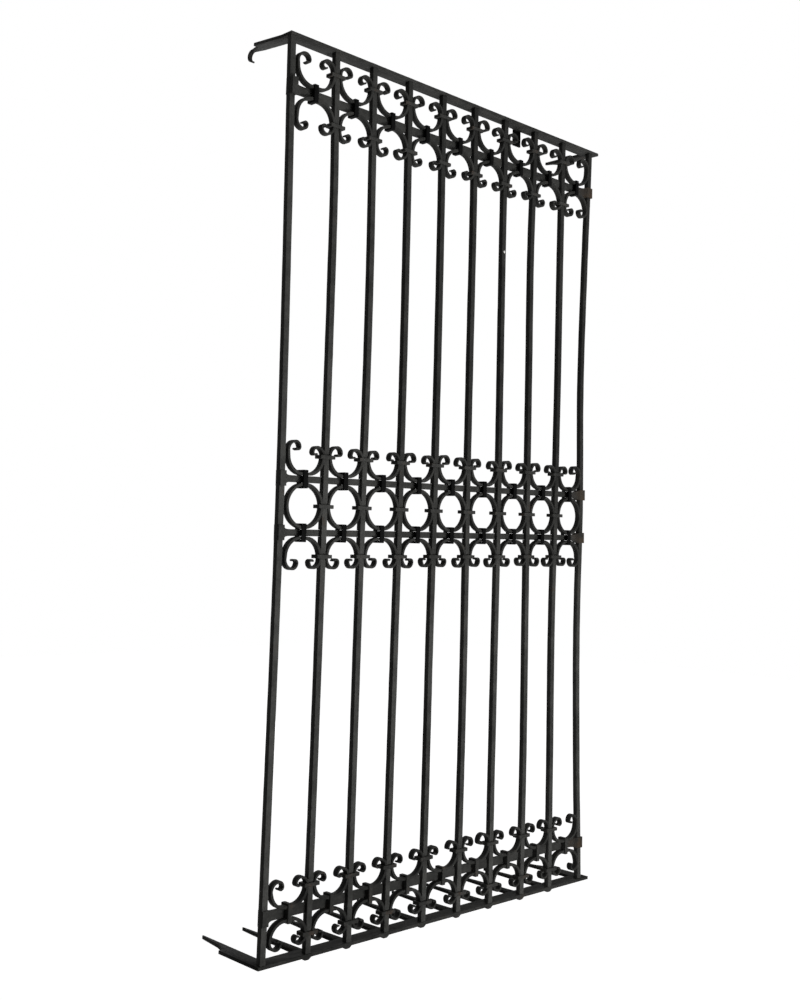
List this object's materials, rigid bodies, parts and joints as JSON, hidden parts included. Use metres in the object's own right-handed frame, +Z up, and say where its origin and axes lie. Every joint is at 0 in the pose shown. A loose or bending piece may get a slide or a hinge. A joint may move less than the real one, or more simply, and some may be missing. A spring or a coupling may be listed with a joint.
{
  "type": "window grille",
  "caption": "Wrought iron window grille: square upright bars between flat rails, with rows of C-scrolls and a row of rings held by collars, and tangs to build into the wall.",
  "frame": {"origin": "on the wall face, midway between the marks of the end posts and level with the underside of the lower rail", "axes": "+Z up along the bars, +X to the right seen from the street, +Y into the wall; the front faces -Y"},
  "size_m": [1.2123, 0.2639, 2.1779],
  "materials": {
    "bars": "blackened, hammered, waxed",
    "rails": "blackened, hammered, waxed",
    "cross_bars": "blackened, hammered, rust tinted ends",
    "scrollwork": "blackened, hammered, waxed",
    "collars": "blackened, hammered, waxed"
  },
  "bodies": {
    "root": {"anchor_02": "rails", "anchor_03": "rails", "anchor_04": "rails", "anchor_05": "rails", "anchor_06": "rails", "anchor_07": "rails", "anchor_08": "rails", "anchor_09": "rails", "bar_01": "bars", "bar_02": "bars", "bar_03": "bars", "bar_04": "bars", "bar_05": "bars", "bar_06": "bars", "bar_07": "bars", "bar_08": "bars", "bar_09": "bars", "bar_10": "bars", "clips_bottom_above": "collars", "clips_bottom_below": "collars", "clips_lower_below": "collars", "clips_rings": "collars", "clips_top_above": "collars", "clips_top_below": "collars", "clips_upper_above": "collars", "collars_bottom": "collars", "collars_lower": "collars", "collars_top": "collars", "collars_upper": "collars", "cross_bottom": "cross_bars", "cross_lower": "cross_bars", "cross_top": "cross_bars", "cross_upper": "cross_bars", "heads_lower": "rails", "heads_upper": "rails", "lower_rail": "rails", "lug": "rails", "rings": "scrollwork", "scrolls_bottom_above": "scrollwork", "scrolls_bottom_below": "scrollwork", "scrolls_lower_below": "scrollwork", "scrolls_top_above": "scrollwork", "scrolls_top_below": "scrollwork", "scrolls_upper_above": "scrollwork", "upper_rail": "rails"}
  },
  "joints": []
}
